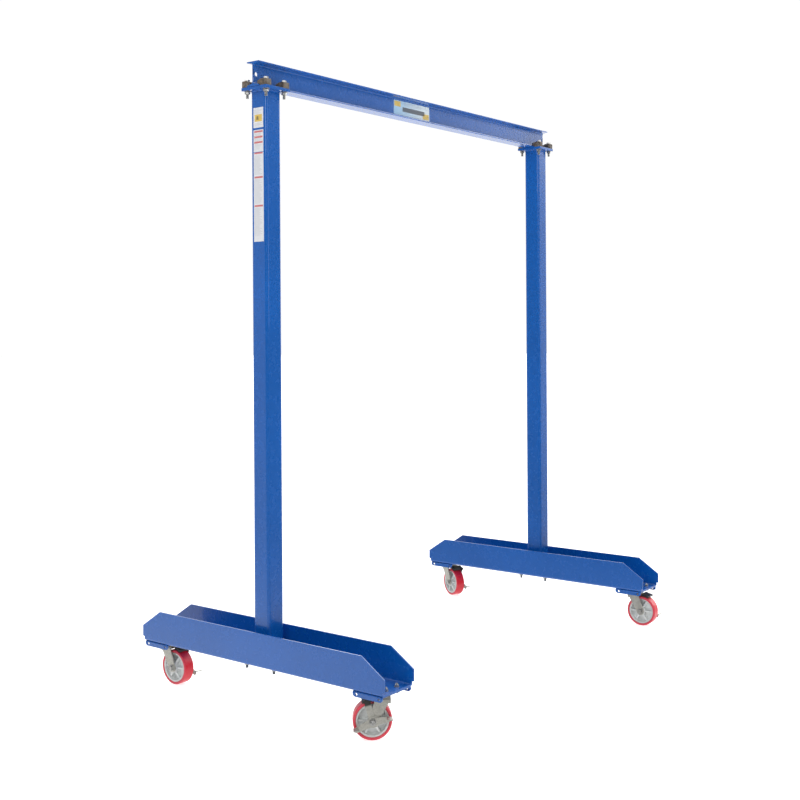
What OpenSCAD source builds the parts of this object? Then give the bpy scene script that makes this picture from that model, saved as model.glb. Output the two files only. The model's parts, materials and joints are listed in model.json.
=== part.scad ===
// Portable gantry crane: a rolled I-beam clamped on two square uprights, each bolted
// into a flanged base channel that rides on two braked swivel casters.
// X runs along the beam, Y along the base channels, Z up. The origin is on the floor,
// under the middle of the beam. Left is -X and front is -Y.

/* [Overall] */
// Distance between the upright axes, along the beam
span = 2150; // [1200:5:4000]
// Height from the floor to the underside of the beam
clear_height = 2570; // [1500:1:3600]
// How far the beam runs past each upright axis
beam_overhang = 76; // [72:1:300]

/* [Beam] */
// Depth of the beam
beam_depth = 101.6; // [90:0.1:160]
// Width of the beam's flanges
flange_w = 67.6; // [60:0.1:80]
// Thickness of the beam's web
web_t = 4.9; // [4:0.1:10]
// Thickness of a flange at its tip
flange_tip_t = 4.8; // [4:0.1:8]
// Rise of the tapered flange face for each unit of width
flange_slope = 0.1667; // [0.1:0.0001:0.2]
// Radius of the fillet between web and flange
root_r = 7.4; // [5:0.1:9]
// Radius of the flange tips
toe_r = 2.6; // [1:0.1:3]
// Diameter of the hole near each end of the web
end_hole_d = 17; // [10:0.5:22]
// Distance from the beam's end to the hole's axis
end_hole_inset = 19; // [15:1:50]

/* [Uprights] */
// Outside width of the square tube
tube_w = 88.9; // [60:0.1:100]
// Wall of the square tube
tube_t = 4.8; // [3:0.1:8]
// Outside corner radius of the square tube
tube_r = 12.7; // [8.5:0.5:14]
// Side of the square top plate
top_plate_w = 144; // [136:1:180]
// Thickness of the top plate
top_plate_t = 12.7; // [8:0.1:20]
// Spacing of the clamp bolts, both ways
clamp_pitch = 107; // [102:1:110]
// Length of the foot plate, along the channel
foot_plate_l = 196; // [184:1:260]
// Width of the foot plate, across the channel
foot_plate_w = 144; // [132:1:150]
// Thickness of the foot plate
foot_plate_t = 9.5; // [6:0.1:16]
// Spacing of the foot bolts along the channel
foot_pitch_y = 154; // [140:1:160]
// Spacing of the foot bolts across the channel
foot_pitch_x = 103; // [80:1:104]
// Corner radius of the plates
plate_r = 4; // [1:0.5:8]

/* [Beam clamps] */
// Width of a clamp along the beam
clamp_w = 38; // [30:1:44]
// Height of a clamp's body over the plate
clamp_h = 27; // [20:1:34]
// How far the clamp's nose reaches over the flange
clamp_reach = 12; // [6:1:20]
// Distance from the bolt's axis to the clamp's heel
clamp_heel = 17; // [14:1:18]

/* [Base channels] */
// Length of a base channel
base_l = 1371.6; // [900:1:2000]
// Width of a base channel
base_w = 187.5; // [176:0.5:220]
// Height of a base channel's flanges
base_h = 139.7; // [100:1:180]
// Thickness of the channel's plate
base_t = 6.35; // [4:0.05:9]
// Outside radius of the channel's bends
base_bend_r = 11; // [10:0.5:16]
// Radius of the flanges' top edges
base_edge_r = 1.2; // [0.5:0.1:2]
// Height of the sloping cut at each end of a flange
end_cut_h = 73; // [40:1:75]
// Length of the sloping cut at each end of a flange
end_cut_l = 112; // [60:1:160]
// Height of the relief at the channel's lower corners
relief_h = 19; // [14:1:24]
// Length of the relief at the channel's lower corners
relief_l = 10; // [5:1:11]

/* [Caster pads] */
// Distance from the channel's end to the swivel axis
caster_inset = 85.8; // [80:0.5:160]
// Length of a pad along the channel
pad_l = 146; // [128:1:150]
// Width of a pad across the channel
pad_w = 180; // [146:1:184]
// Depth of a pad's side flanges
pad_h = 22.5; // [16:0.5:24]
// Thickness of a pad's plate
pad_t = 5; // [4:0.1:7]
// Outside radius of a pad's bends
pad_bend_r = 8; // [7.5:0.5:12]
// Corner radius of a pad's side flanges
pad_corner_r = 14; // [6:1:15]
// Diameter of the holes in a pad's side flanges
pad_hole_d = 11; // [6:0.5:12]
// Distance from the pad's end to its side holes
pad_hole_inset = 19; // [14:1:24]

/* [Casters] */
// Diameter of the wheel
wheel_d = 152.4; // [140:0.1:156]
// Width of the tread
tread_w = 50.8; // [40:0.1:54]
// Thickness of the tread
tread_t = 12.2; // [8:0.1:16]
// Radius of the tread's shoulders
tread_r = 5; // [2:0.5:5.5]
// Height from the floor to the top of the caster's plate
caster_h = 187.3; // [186:0.1:200]
// Distance from the swivel axis to the axle, along the floor
trail = 38.1; // [32:0.1:42]
// Length of the caster's top plate, along the channel
mount_l = 114.3; // [108:0.1:120]
// Width of the caster's top plate, across the channel
mount_w = 101.6; // [92:0.1:116]
// Thickness of the caster's top plate
mount_t = 6.35; // [5:0.05:8]
// Bolt spacing of the top plate, along the channel
mount_pitch_y = 92.1; // [88:0.1:94]
// Bolt spacing of the top plate, across the channel
mount_pitch_x = 66.7; // [64:0.1:76]
// Gap between the inner faces of the fork's legs
fork_gap = 60.2; // [60:0.1:64]
// Thickness of the fork's plate
fork_t = 6; // [4:0.1:7]
// Radius of the rounded foot of a fork leg
leg_foot_r = 19; // [16:0.5:22]
// Direction of trail of the left front caster
trail_left_front = 132; // [0:1:359]
// Direction of trail of the left rear caster
trail_left_rear = 270; // [0:1:359]
// Direction of trail of the right front caster
trail_right_front = 275; // [0:1:359]
// Direction of trail of the right rear caster
trail_right_rear = 247; // [0:1:359]

/* [Brakes] */
// Clearance between the shoe and the tread with the brake off
shoe_gap = 3; // [2.5:0.1:4]
// How far the shoe moves in when the brake goes on
shoe_travel = 2.2; // [1.5:0.1:2.3]
// Turn of the lever that puts the brake on
lever_turn = 20; // [15:1:25]
// Lean of the shoe's arm from upright, towards the trailing side
arm_lean = 15; // [10:0.5:17]
// Length of the shoe around the tread
shoe_l = 34; // [24:1:38]
// Width of the shoe across the tread
shoe_w = 44; // [36:1:48]
// Length of a foot tab, out from the lever
tab_l = 34; // [20:1:45]
// Width of a foot tab
tab_w = 22; // [16:1:28]

/* [Fasteners] */
// Diameter of the clamp, foot and axle bolts
bolt_d = 12.7; // [12:0.1:13]
// Diameter of the caster plate bolts
small_bolt_d = 9.5; // [8:0.1:10]
// How far the clamp bolts hang below the top plate
clamp_bolt_tail = 31; // [24:1:40]
// How far the foot bolts hang below the channel
foot_bolt_tail = 27; // [16:1:34]

/* [Labels] */
// Width of the labels on the left upright
label_w = 56; // [30:1:60]
// Distance from the top plate down to the first label
label_drop = 71; // [50:1:300]
// Length of the beam's label
beam_label_l = 283; // [100:1:400]
// Distance from mid-span to the beam label's middle
beam_label_x = -74; // [-300:1:300]

/* [Hidden] */
$fn = 64;
FRAME_NODES = [
    "beam", "upright_left", "upright_right", "top_plates", "foot_plates",
    "base_channel_left", "base_channel_right", "caster_pads", "beam_clamps",
    "clamp_bolts", "foot_bolts", "frame_nuts", "frame_washers", "upright_labels",
    "beam_label", "caster_plates", "caster_bolts", "caster_nuts", "kingpins", "swivel_balls"
];
// Every caster: its name, its place along X and Y, and its direction of trail
CASTERS = [
    ["left_front", -1, -1, trail_left_front],
    ["left_rear", -1, 1, trail_left_rear],
    ["right_front", 1, -1, trail_right_front],
    ["right_rear", 1, 1, trail_right_rear]
];
// The pieces of a caster that turn below its swivel
CASTER_PIECES = [
    "fork", "axle_bolt", "axle_nut", "sleeve", "hub", "tread", "bearing",
    "brake_lever", "brake_arm", "brake_shoe"
];

paint = "#14509f";
zinc = "#b9b6a4";
bolt_zinc = "#c6c6c4";
clamp_iron = "#6d655d";
hub_grey = "#9b9f9f";
tread_red = "#d3263b";
shoe_black = "#24262a";
label_white = "#dadbde";
label_blue = "#a9c3d6";

// Clearances
hole_clear = 0.8;    // bolt hole over bolt, on the radius
run_clear = 0.08;    // running fit, on the radius
seat_clear = 0.3;    // between pieces that move past each other
snug = 0.1;          // between pieces that are held together
through = 1;         // how far a cutting tool runs past a face
tangent_in = 0.02;   // how far a strap's side lies inside the true tangent

// Fastener proportions
bolt_r = bolt_d / 2;
small_bolt_r = small_bolt_d / 2;
hex_af = bolt_d * 1.5;
head_h = bolt_d * 0.63;
nut_h = bolt_d * 0.86;
small_af = small_bolt_d * 1.5;
small_head_h = small_bolt_d * 0.63;
small_nut_h = small_bolt_d * 0.86;
washer_t = 2.4;
washer_r = bolt_d * 1.12;
small_washer_t = 1.6;
small_washer_r = small_bolt_d * 1.1;
thread_share = 0.154;    // pitch of a coarse thread, as a share of its diameter
clamp_corner_r = 9;
pad_edge_r = 0.8;
label_t = 0.3;

// Levels
wheel_r = wheel_d / 2;
axle_z = wheel_r;
mount_z = caster_h - mount_t;
channel_z = caster_h + pad_t;
floor_z = channel_z + base_t;
foot_z = floor_z + foot_plate_t;
top_plate_z = clear_height - top_plate_t;
beam_l = span + 2 * beam_overhang;
flange_half = flange_w / 2;
web_half = web_t / 2;
caster_y = base_l / 2 - caster_inset;
wall_r = hole_clear + bolt_r;
clamp_bolt_z = clear_height + clamp_h;

// Caster
race_r = 30;
ball_r = 3.175;
ball_pitch_r = 24;
ball_count = 16;
crown_z = mount_z - 21;                       // underside of the fork's crown
crown_top = crown_z + fork_t;
race_gap = 3;                                 // between the two races
race_z = (crown_top + mount_z) / 2 - 1;       // middle of the balls
fork_half = fork_gap / 2;
fork_out = fork_half + fork_t;
crown_back = -32;
crown_front = 30;
leg_top_r = 27;
fork_bend_r = fork_t + 3;
axle_head_t = 2.4;

// Wheel
rim_r = wheel_r - tread_t;
rim_in_r = rim_r - 8;
boss_r = 23;
boss_half = fork_half - 1.5;
sleeve_r = 9.5;
bearing_r = 15.8;
bearing_half = boss_half - 1.6;
roller_count = 10;
rib_count = 6;
rib_t = 7;
disc_half = 5;

// Brake
lever_t = 3;
arm_t = 3;
arm_y = fork_out + seat_clear;
lever_y = arm_y + arm_t + seat_clear;
lever_out = lever_y + lever_t;
cam_throw = shoe_travel / sin(lever_turn);
cam_r = bolt_r + cam_throw + 1.7;
cam_centre = cam_throw * [-cos(arm_lean), sin(arm_lean)];
cam_shift = cam_throw * (1 - cos(lever_turn)) + 0.2;
arm_eye_r = cam_r + 7.5;
arm_w = 24;
shoe_face = wheel_r + shoe_gap;
shoe_top = shoe_face + 6;
arm_plate_half = shoe_l / 2 + 3;
lead_tip = [-62, 11];
trail_tip = [62, -29];
lever_root_r = 16;
lever_tip_r = 10;
nut_y = lever_out + seat_clear;
axle_end = nut_y + washer_t + nut_h + 5;

// Labels, from the top: heights and the gaps under them
label_heights = [83, 91, 368];
label_gaps = [9, 2, 0];

function arc(centre, r, a0, a1, n = 8) =
    [for (i = [0:n]) let (a = a0 + (a1 - a0) * i / n) centre + r * [cos(a), sin(a)]];
function below(list, count) = count == 0 ? 0 : list[count - 1] + below(list, count - 1);

// ---------- shared shapes ----------

// Square with rounded corners, centred
module rounded(w, h, r) {
    square([w - 2 * r, h], center = true);
    square([w, h - 2 * r], center = true);
    for (x = [-1, 1], y = [-1, 1])
        translate([x * (w / 2 - r), y * (h / 2 - r)]) circle(r);
}

// Two circles and the straight strap between them, its sides a touch inside their tangents
module strap(p, rp, q, rq) {
    dir = atan2(q[1] - p[1], q[0] - p[0]);
    tilt = acos((rp - rq) / norm(q - p));
    translate(p) circle(rp);
    translate(q) circle(rq);
    polygon([
        p + (rp - tangent_in) * [cos(dir + tilt), sin(dir + tilt)],
        p + (rp - tangent_in) * [cos(dir - tilt), sin(dir - tilt)],
        q + (rq - tangent_in) * [cos(dir - tilt), sin(dir - tilt)],
        q + (rq - tangent_in) * [cos(dir + tilt), sin(dir + tilt)]
    ]);
}

// Stands an XZ outline on the Y axis, from y0 to y1
module slab_y(y0, y1) {
    translate([0, y1, 0]) rotate([90, 0, 0]) linear_extrude(height = y1 - y0) children();
}

// Runs a YZ outline along X, centred
module run_x(length) {
    rotate([90, 0, 90]) linear_extrude(height = length, center = true) children();
}

// Runs an XZ outline along Y, centred
module run_y(length) {
    rotate([90, 0, 0]) linear_extrude(height = length, center = true) children();
}

module grid(pitch_x, pitch_y) {
    for (x = [-1, 1], y = [-1, 1])
        translate([x * pitch_x / 2, y * pitch_y / 2, 0]) children();
}

module both_ends() {
    for (side = [-1, 1]) translate([side * span / 2, 0, 0]) children();
}

module each_caster() {
    for (x = [-1, 1], y = [-1, 1]) translate([x * span / 2, y * caster_y, 0]) children();
}

module washer(hole_r, r, t) {
    linear_extrude(height = t) difference() {
        circle(r);
        circle(hole_r);
    }
}

// Hexagonal prism with its upper corners turned down
module hex_head(af, h) {
    intersection() {
        cylinder(d = af / cos(30), h = h, $fn = 6);
        cylinder(r1 = 0.47 * af + h * 1.732, r2 = 0.47 * af, h = h);
    }
}

module hex_nut(af, h, hole_r) {
    difference() {
        intersection() {
            cylinder(d = af / cos(30), h = h, $fn = 6);
            cylinder(r1 = 0.47 * af + h * 1.732, r2 = 0.47 * af, h = h);
            cylinder(r1 = 0.47 * af, r2 = 0.47 * af + h * 1.732, h = h);
        }
        translate([0, 0, -through]) cylinder(r = hole_r, h = h + 2 * through);
    }
}

// Bolt pointing down: its head stands on z = 0, the shank is plain and then threaded
module bolt(d, af, head, plain, threaded) {
    pitch = d * thread_share;
    turns = floor(threaded / pitch) - 1;
    crest = d / 2;
    root = crest - 0.55 * pitch;
    hex_head(af, head);
    rotate_extrude() polygon(concat(
        [[0, 0.5], [crest, 0.5], [crest, -plain]],
        [for (i = [0:turns], part = [0, 1])
            [part == 0 ? root : crest, -plain - (i + 0.5 + part * 0.5) * pitch]],
        [[root, -plain - threaded], [0, -plain - threaded]]
    ));
}

// ---------- frame ----------

// Face of the tapered flange, measured from the flange's flat side
function flange_face(y) = flange_tip_t + (flange_half - y) * flange_slope;

// A quarter of the beam's section, from mid-depth down to the flat side
function beam_quarter() =
    let (
        lean = atan(flange_slope),
        root_c = [web_half + root_r, flange_face(web_half + root_r) + root_r / cos(lean)],
        toe_c = [flange_half - toe_r, flange_face(flange_half - toe_r) - toe_r / cos(lean)]
    )
    concat(
        [[0, 0], [flange_half, 0]],
        arc(toe_c, toe_r, 0, 90 - lean, 5),
        arc(root_c, root_r, 270 - lean, 180, 8),
        [[web_half, beam_depth / 2], [0, beam_depth / 2]]
    );

module beam_section() {
    for (side = [0, 1], level = [0, 1])
        translate([0, level * beam_depth])
            mirror([0, level]) mirror([side, 0]) polygon(beam_quarter());
}

module beam() {
    color(paint) difference() {
        translate([0, 0, clear_height]) run_x(beam_l) beam_section();
        for (side = [-1, 1])
            translate([side * (beam_l / 2 - end_hole_inset), 0, clear_height + beam_depth / 2])
                rotate([90, 0, 0]) cylinder(d = end_hole_d, h = web_t + 2 * through, center = true);
    }
}

module upright(side) {
    color(paint) translate([side * span / 2, 0, foot_z])
        linear_extrude(height = top_plate_z - foot_z) difference() {
            rounded(tube_w, tube_w, tube_r);
            rounded(tube_w - 2 * tube_t, tube_w - 2 * tube_t, tube_r - tube_t);
        }
}

module top_plates() {
    color(paint) both_ends() translate([0, 0, top_plate_z])
        linear_extrude(height = top_plate_t) difference() {
            rounded(top_plate_w, top_plate_w, plate_r);
            for (x = [-1, 1], y = [-1, 1])
                translate([x, y] * clamp_pitch / 2) circle(wall_r);
        }
}

module foot_plates() {
    color(paint) both_ends() translate([0, 0, floor_z])
        linear_extrude(height = foot_plate_t) difference() {
            rounded(foot_plate_w, foot_plate_l, plate_r);
            for (x = [-1, 1], y = [-1, 1])
                translate([x * foot_pitch_x / 2, y * foot_pitch_y / 2]) circle(wall_r);
        }
}

// Bent section with upstanding flanges, its flat underside on y = 0
module bent_channel(w, h, t, bend, edge) {
    polygon(concat(
        arc([w / 2 - edge, h - edge], edge, 90, 0, 4),
        arc([w / 2 - bend, bend], bend, 0, -90),
        arc([bend - w / 2, bend], bend, -90, -180),
        arc([edge - w / 2, h - edge], edge, 180, 90, 4),
        arc([t - w / 2 - edge, h - edge], edge, 90, 0, 4),
        arc([bend - w / 2, bend], bend - t, 180, 270),
        arc([w / 2 - bend, bend], bend - t, 270, 360),
        arc([w / 2 - t + edge, h - edge], edge, 180, 90, 4)
    ));
}

module channel_side() {
    for (end = [0, 1]) mirror([end, 0]) polygon([
        [0, 0],
        [base_l / 2 - relief_l, 0],
        [base_l / 2 - relief_l, relief_h],
        [base_l / 2, relief_h],
        [base_l / 2, base_h - end_cut_h],
        [base_l / 2 - end_cut_l, base_h],
        [0, base_h]
    ]);
}

module base_channel(side) {
    color(paint) translate([side * span / 2, 0, channel_z]) difference() {
        intersection() {
            run_y(base_l) bent_channel(base_w, base_h, base_t, base_bend_r, base_edge_r);
            run_x(base_w + 2 * through) channel_side();
        }
        translate([0, 0, -through]) {
            grid(foot_pitch_x, foot_pitch_y) cylinder(r = wall_r, h = base_t + 2 * through);
            for (y = [-caster_y, caster_y]) translate([0, y, 0])
                grid(mount_pitch_x, mount_pitch_y)
                    cylinder(r = small_bolt_r + hole_clear, h = base_t + 2 * through);
        }
    }
}

module pad_side() {
    r = pad_corner_r;
    polygon(concat(
        [[-pad_l / 2, 0]],
        arc([r - pad_l / 2, r - pad_h], r, 180, 270),
        arc([pad_l / 2 - r, r - pad_h], r, 270, 360),
        [[pad_l / 2, 0]]
    ));
}

module caster_pads() {
    color(paint) each_caster() translate([0, 0, channel_z]) difference() {
        intersection() {
            mirror([0, 0, 1]) run_y(pad_l) bent_channel(pad_w, pad_h, pad_t, pad_bend_r, pad_edge_r);
            run_x(pad_w + 2 * through) pad_side();
        }
        translate([0, 0, -pad_t - through]) grid(mount_pitch_x, mount_pitch_y)
            cylinder(r = small_bolt_r + hole_clear, h = pad_t + 2 * through);
        for (y = [-1, 1])
            translate([0, y * (pad_l / 2 - pad_hole_inset), -pad_h / 2])
                rotate([0, 90, 0]) cylinder(d = pad_hole_d, h = pad_w + 2 * through, center = true);
    }
}

// Side view of a clamp: the heel stands on the plate, the nose lies on the flange
module clamp_side() {
    heel = clamp_pitch / 2 + clamp_heel;
    nose = flange_half - clamp_reach;
    edge = flange_half + hole_clear;
    rise = flange_face(nose) + snug;
    nose_h = 10;
    nose_r = 4;
    brow = clamp_pitch / 2 - 12;
    brow_r = 3;
    heel_r = 7;
    polygon(concat(
        [[heel, 0], [edge, 0], [edge, flange_tip_t + snug], [nose, rise]],
        arc([nose + nose_r, rise + nose_h], nose_r, 180, 115, 4),
        arc([brow, clamp_h - brow_r], brow_r, 115, 90, 3),
        arc([heel - heel_r, clamp_h - heel_r], heel_r, 90, 0)
    ));
}

module beam_clamps() {
    color(clamp_iron) both_ends() translate([0, 0, clear_height])
        for (x = [-1, 1], y = [0, 1]) mirror([0, y, 0]) difference() {
            translate([x * clamp_pitch / 2, 0, 0]) intersection() {
                run_x(clamp_w) clamp_side();
                translate([0, clamp_pitch / 2 + clamp_heel - clamp_w, -through])
                    linear_extrude(height = clamp_h + 2 * through)
                        rounded(clamp_w, 2 * clamp_w, clamp_corner_r);
            }
            translate([x * clamp_pitch / 2, clamp_pitch / 2, -through])
                cylinder(r = wall_r, h = clamp_h + 2 * through);
        }
}

module clamp_bolts() {
    plain = clamp_h + top_plate_t + washer_t;
    color(bolt_zinc) both_ends() translate([0, 0, clamp_bolt_z]) grid(clamp_pitch, clamp_pitch)
        bolt(bolt_d, hex_af, head_h, plain, clamp_bolt_tail - washer_t);
}

module foot_bolts() {
    plain = foot_plate_t + base_t;
    color(bolt_zinc) both_ends() translate([0, 0, foot_z]) grid(foot_pitch_x, foot_pitch_y)
        bolt(bolt_d, hex_af, head_h, plain, foot_bolt_tail);
}

module frame_washers() {
    color(bolt_zinc) both_ends() {
        translate([0, 0, top_plate_z - washer_t]) grid(clamp_pitch, clamp_pitch)
            washer(bolt_r + snug, washer_r, washer_t);
        translate([0, 0, channel_z - washer_t]) grid(foot_pitch_x, foot_pitch_y)
            washer(bolt_r + snug, washer_r, washer_t);
    }
}

module frame_nuts() {
    drop = washer_t + nut_h;
    color(bolt_zinc) both_ends() {
        translate([0, 0, top_plate_z - drop]) grid(clamp_pitch, clamp_pitch)
            rotate([0, 0, 15]) hex_nut(hex_af, nut_h, bolt_r + snug);
        translate([0, 0, channel_z - drop]) grid(foot_pitch_x, foot_pitch_y)
            rotate([0, 0, 15]) hex_nut(hex_af, nut_h, bolt_r + snug);
    }
}

module upright_labels() {
    color(label_white) translate([-(span + tube_w) / 2 - label_t, 0, top_plate_z - label_drop])
        for (i = [0:len(label_heights) - 1])
            translate([0, -label_w / 2, -below(label_heights, i + 1) - below(label_gaps, i)])
                cube([label_t, label_w, label_heights[i]]);
}

module beam_label() {
    edge = flange_face(web_half + root_r) + root_r + 0.6;
    color(label_blue)
        translate([beam_label_x - beam_label_l / 2, -web_half - label_t, clear_height + edge])
            cube([beam_label_l, label_t, beam_depth - 2 * edge]);
}

// ---------- caster top, which stays with the frame ----------

module ball_groove() {
    translate([0, 0, race_z]) rotate_extrude()
        translate([ball_pitch_r, 0]) circle(ball_r + seat_clear);
}

module caster_plates() {
    color(zinc) each_caster() difference() {
        union() {
            translate([0, 0, mount_z]) linear_extrude(height = mount_t)
                rounded(mount_w, mount_l, 8);
            translate([0, 0, race_z + race_gap / 2])
                cylinder(r = race_r, h = mount_z - race_z - race_gap / 2 + 1);
        }
        ball_groove();
        translate([0, 0, race_z - 5]) cylinder(r = bolt_r + snug, h = caster_h);
        translate([0, 0, mount_z - through]) grid(mount_pitch_x, mount_pitch_y)
            cylinder(r = small_bolt_r + hole_clear, h = mount_t + 2 * through);
    }
}

module caster_bolts() {
    plain = mount_t + pad_t + base_t + small_washer_t;
    color(bolt_zinc) each_caster() translate([0, 0, mount_z])
        grid(mount_pitch_x, mount_pitch_y) mirror([0, 0, 1])
            bolt(small_bolt_d, small_af, small_head_h, plain, small_nut_h + 4);
}

module caster_nuts() {
    color(bolt_zinc) each_caster() translate([0, 0, floor_z])
        grid(mount_pitch_x, mount_pitch_y) {
            washer(small_bolt_r + snug, small_washer_r, small_washer_t);
            translate([0, 0, small_washer_t + 0.05])
                hex_nut(small_af, small_nut_h, small_bolt_r + snug);
        }
}

module kingpins() {
    low = crown_z - seat_clear - 10;
    color(bolt_zinc) each_caster() {
        translate([0, 0, low - 1.5]) cylinder(r = bolt_r, h = caster_h - low + 1.5);
        translate([0, 0, low]) hex_nut(hex_af, 10, bolt_r + snug / 2);
    }
}

module swivel_balls() {
    color(bolt_zinc) each_caster() for (i = [0:ball_count - 1])
        rotate([0, 0, i * 360 / ball_count]) translate([ball_pitch_r, 0, race_z])
            sphere(ball_r, $fn = 24);
}

// ---------- caster below the swivel, drawn with its trail along +X ----------

module at_caster(x, y, turn) {
    translate([x * span / 2, y * caster_y, 0]) rotate([0, 0, turn]) children();
}

module at_axle() {
    translate([trail, 0, axle_z]) children();
}

module fork_side() {
    strap([0, crown_z], leg_top_r, [trail, axle_z], leg_foot_r);
    translate([crown_back, crown_z - 16]) square([crown_front - crown_back, 16 + fork_t]);
}

module fork_section() {
    low = axle_z - 40;
    difference() {
        union() {
            translate([-fork_out, low]) square([2 * fork_out, crown_top - fork_bend_r - low]);
            translate([-fork_out + fork_bend_r, low])
                square([2 * (fork_out - fork_bend_r), crown_top - low]);
            for (y = [-1, 1]) translate([y * (fork_out - fork_bend_r), crown_top - fork_bend_r])
                circle(fork_bend_r);
        }
        translate([-fork_half, low - through])
            square([fork_gap, crown_z - 3 - low + through]);
        translate([-fork_half + 3, low - through])
            square([fork_gap - 6, crown_z - low + through]);
        for (y = [-1, 1]) translate([y * (fork_half - 3), crown_z - 3]) circle(3);
    }
}

module fork() {
    color(zinc) difference() {
        union() {
            intersection() {
                run_x(200) fork_section();
                run_y(200) fork_side();
            }
            translate([0, 0, crown_top - 1])
                cylinder(r = race_r, h = race_z - race_gap / 2 - crown_top + 1);
        }
        ball_groove();
        translate([0, 0, crown_z - through]) cylinder(r = bolt_r + run_clear, h = 30);
        at_axle() rotate([90, 0, 0])
            cylinder(r = bolt_r + snug / 2, h = 2 * fork_out + 2 * through, center = true);
    }
}

// Axle bolt: head and washer on the plain side, thread on the brake side
module axle_bolt() {
    plain = fork_out + axle_head_t + lever_out;
    color(bolt_zinc) at_axle() {
        translate([0, -fork_out - axle_head_t, 0]) rotate([90, 0, 0])
            bolt(bolt_d, hex_af, head_h, plain, axle_end - lever_out);
        translate([0, -fork_out - 0.05, 0]) rotate([90, 0, 0])
            washer(bolt_r + snug, washer_r, axle_head_t - 0.1);
    }
}

module axle_nut() {
    color(bolt_zinc) at_axle() translate([0, nut_y, 0]) rotate([-90, 0, 0]) {
        washer(bolt_r + snug, washer_r, washer_t);
        translate([0, 0, washer_t + 0.05]) rotate([0, 0, 12]) hex_nut(hex_af, nut_h, bolt_r + snug);
    }
}

module sleeve() {
    color(bolt_zinc) at_axle() slab_y(-fork_half + 0.05, fork_half - 0.05) difference() {
        circle(sleeve_r);
        circle(bolt_r + snug / 2);
    }
}

// Section of the hub on one side of its middle: radius across, width up
function hub_half() = concat(
    [[bearing_r + snug, 0], [bearing_r + snug, boss_half], [boss_r - 2, boss_half]],
    arc([boss_r - 2, boss_half - 2], 2, 90, 0, 4),
    arc([boss_r + 7, disc_half + 7], 7, 180, 270, 6),
    arc([rim_in_r - 8, disc_half + 8], 8, 270, 350, 6),
    [[rim_in_r + 1.5, tread_w / 2 - 3]],
    [[rim_in_r + 2.5, tread_w / 2 - 2], [rim_r - snug, tread_w / 2 - 2], [rim_r - snug, 0]]
);

module hub() {
    rib_top = tread_w / 2 - 9;
    color(hub_grey) at_axle() rotate([90, 0, 0]) {
        for (side = [0, 1]) mirror([0, 0, side]) rotate_extrude() polygon(hub_half());
        for (i = [0:rib_count - 1]) rotate([90, 0, i * 360 / rib_count])
            linear_extrude(height = rib_t, center = true) polygon([
                [boss_r - 3, -boss_half + 5], [rim_in_r + 2, -rib_top],
                [rim_in_r + 2, rib_top], [boss_r - 3, boss_half - 5]
            ]);
    }
}

module tread() {
    color(tread_red) at_axle() rotate([90, 0, 0]) rotate_extrude()
        translate([rim_r + tread_t / 2, 0]) rounded(tread_t, tread_w, tread_r);
}

// Roller bearing: end rings with the rollers between them
module bearing() {
    ring_h = 4;
    roller_r = (bearing_r - sleeve_r) / 2 - 0.15;
    color(bolt_zinc) at_axle() rotate([90, 0, 0]) union() {
        for (side = [0, 1]) mirror([0, 0, side]) translate([0, 0, bearing_half - ring_h])
            washer(sleeve_r + run_clear, bearing_r, ring_h);
        for (i = [0:roller_count - 1]) rotate([0, 0, i * 360 / roller_count])
            translate([(bearing_r + sleeve_r + run_clear) / 2, 0, 0])
                cylinder(r = roller_r, h = 2 * bearing_half - ring_h, center = true);
    }
}

// ---------- brake ----------

// Side view of a foot tab: a strip along the lever's arm, at its tip
module tab_side(tip) {
    dir = tip[0] < 0 ? -1 : 1;
    translate([tip[0] - tab_w / 2 + dir * 2, tip[1] + lever_tip_r - 6])
        square([tab_w, lever_t + 1]);
}

module brake_lever() {
    color(zinc) at_axle() difference() {
        union() {
            slab_y(lever_y, lever_out) union() {
                strap([0, 0], lever_root_r, lead_tip, lever_tip_r);
                strap([0, 0], lever_root_r, trail_tip, lever_tip_r);
                circle(lever_root_r + 5);
            }
            slab_y(arm_y, lever_y + 1) translate(cam_centre) circle(cam_r);
            for (tip = [lead_tip, trail_tip]) slab_y(lever_y + 1, lever_out + tab_l) tab_side(tip);
        }
        rotate([90, 0, 0]) cylinder(r = bolt_r + run_clear, h = 4 * fork_out, center = true);
    }
}

module arm_outline() {
    difference() {
        union() {
            rotate(-arm_lean) {
                translate([-arm_w / 2, 0]) square([arm_w, shoe_top + arm_t]);
                translate([-arm_plate_half, shoe_top - 8])
                    square([2 * arm_plate_half, 8 + arm_t]);
            }
            translate(cam_centre) circle(arm_eye_r);
        }
        strap(
            cam_centre, cam_r + snug,
            cam_centre + cam_shift * [cos(arm_lean), -sin(arm_lean)], cam_r + snug - 0.001
        );
    }
}

module brake_arm() {
    color(zinc) at_axle() {
        slab_y(arm_y, arm_y + arm_t) arm_outline();
        slab_y(-shoe_w / 2 - 2, arm_y + arm_t) rotate(-arm_lean)
            translate([-arm_plate_half, shoe_top]) square([2 * arm_plate_half, arm_t]);
    }
}

module brake_shoe() {
    color(shoe_black) at_axle() slab_y(-shoe_w / 2, shoe_w / 2) difference() {
        rotate(-arm_lean) translate([-shoe_l / 2, wheel_r]) square([shoe_l, shoe_top - wheel_r]);
        circle(shoe_face);
    }
}

module caster_piece(piece) {
    if (piece == "fork") fork();
    if (piece == "axle_bolt") axle_bolt();
    if (piece == "axle_nut") axle_nut();
    if (piece == "sleeve") sleeve();
    if (piece == "hub") hub();
    if (piece == "tread") tread();
    if (piece == "bearing") bearing();
    if (piece == "brake_lever") brake_lever();
    if (piece == "brake_arm") brake_arm();
    if (piece == "brake_shoe") brake_shoe();
}

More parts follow.
